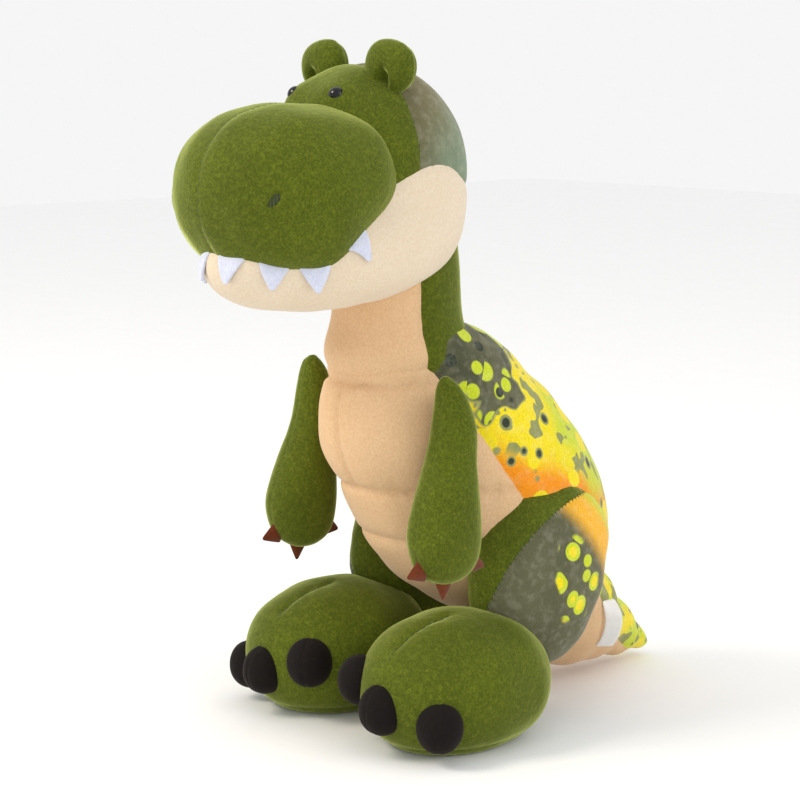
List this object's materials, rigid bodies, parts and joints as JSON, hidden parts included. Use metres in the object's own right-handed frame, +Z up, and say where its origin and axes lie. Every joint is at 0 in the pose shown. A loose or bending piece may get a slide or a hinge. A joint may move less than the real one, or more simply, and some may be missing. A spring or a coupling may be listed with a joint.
{
  "type": "stuffed toy dinosaur",
  "caption": "Standing plush dinosaur with a big rounded muzzle, felt teeth, small arms, large round feet and a short tail that props it up.",
  "frame": {"origin": "on the floor under the middle of the toy's bounding box", "axes": "+Z up, -Y the way the toy faces, +X its own left side"},
  "size_m": [0.204, 0.359, 0.4035],
  "materials": {
    "stuffing": "loose white polyester fibre",
    "tan_velboa": "short pile velboa",
    "green_plush": "short dense plush pile",
    "printed_plush": "short plush pile with a printed pattern",
    "cream_plush": "short dense plush pile",
    "dark_plush": "short dense plush pile",
    "brown_felt": "pressed felt",
    "white_felt": "pressed felt",
    "embroidery": "satin stitch thread",
    "satin_label": "smooth woven satin, blank",
    "eye_plastic": "polished",
    "washer_plastic": "moulded"
  },
  "bodies": {
    "torso": {"torso_fill": "stuffing", "belly_panel": "tan_velboa", "back_panel_left": "printed_plush", "thigh_side_panel_left": "printed_plush", "thigh_fill_left": "stuffing", "foot_fill_left": "stuffing", "thigh_front_panel_left": "green_plush", "foot_upper_left": "green_plush", "foot_sole_left": "green_plush", "toe_inner_left": "dark_plush", "toe_middle_left": "dark_plush", "toe_outer_left": "dark_plush", "back_panel_right": "printed_plush", "thigh_side_panel_right": "printed_plush", "thigh_fill_right": "stuffing", "foot_fill_right": "stuffing", "thigh_front_panel_right": "green_plush", "foot_upper_right": "green_plush", "foot_sole_right": "green_plush", "toe_inner_right": "dark_plush", "toe_middle_right": "dark_plush", "toe_outer_right": "dark_plush"},
    "neck": {"neck_fill": "stuffing", "neck_front_panel": "tan_velboa", "neck_back_panel": "green_plush"},
    "head": {"head_fill": "stuffing", "forehead_panel": "green_plush", "head_back_panel": "printed_plush", "jaw_panel": "cream_plush", "muzzle_panel_left": "green_plush", "ear_left": "green_plush", "ear_lining_left": "green_plush", "teeth_left": "white_felt", "eye_left": "eye_plastic", "eye_washer_left": "washer_plastic", "nostril_left": "embroidery", "muzzle_panel_right": "green_plush", "ear_right": "green_plush", "ear_lining_right": "green_plush", "teeth_right": "white_felt", "eye_right": "eye_plastic", "eye_washer_right": "washer_plastic", "nostril_right": "embroidery"},
    "arm_left": {"arm_fill_left": "stuffing", "arm_cover_outer_left": "green_plush", "arm_cover_inner_left": "green_plush", "claws_left": "brown_felt"},
    "arm_right": {"arm_fill_right": "stuffing", "arm_cover_outer_right": "green_plush", "arm_cover_inner_right": "green_plush", "claws_right": "brown_felt"},
    "tail": {"tail_fill": "stuffing", "tail_under_panel": "tan_velboa", "tail_top_panel": "printed_plush", "care_label": "satin_label"}
  },
  "joints": [
    {"name": "neck_lean", "type": "hinge", "parent": "torso", "child": "neck", "pos_m": [0, -0.0385, 0.23], "axis": [1, 0, 0], "range_deg": [-8, 8], "stiffness_Nm_per_rad": 2},
    {"name": "head_turn", "type": "hinge", "parent": "neck", "child": "head", "pos_m": [0, -0.0385, 0.287], "axis": [0, 0, 1], "range_deg": [-25, 25], "stiffness_Nm_per_rad": 0.4},
    {"name": "arm_left_swing", "type": "hinge", "parent": "torso", "child": "arm_left", "pos_m": [0.0625, -0.0515, 0.203], "axis": [-1, 0, 0], "range_deg": [-5, 60], "stiffness_Nm_per_rad": 0.05},
    {"name": "arm_right_swing", "type": "hinge", "parent": "torso", "child": "arm_right", "pos_m": [-0.0625, -0.0515, 0.203], "axis": [-1, 0, 0], "range_deg": [-5, 60], "stiffness_Nm_per_rad": 0.05},
    {"name": "tail_wag", "type": "hinge", "parent": "torso", "child": "tail", "pos_m": [0, 0.0905, 0.048], "axis": [0, 0, 1], "range_deg": [-20, 20], "stiffness_Nm_per_rad": 0.5}
  ]
}
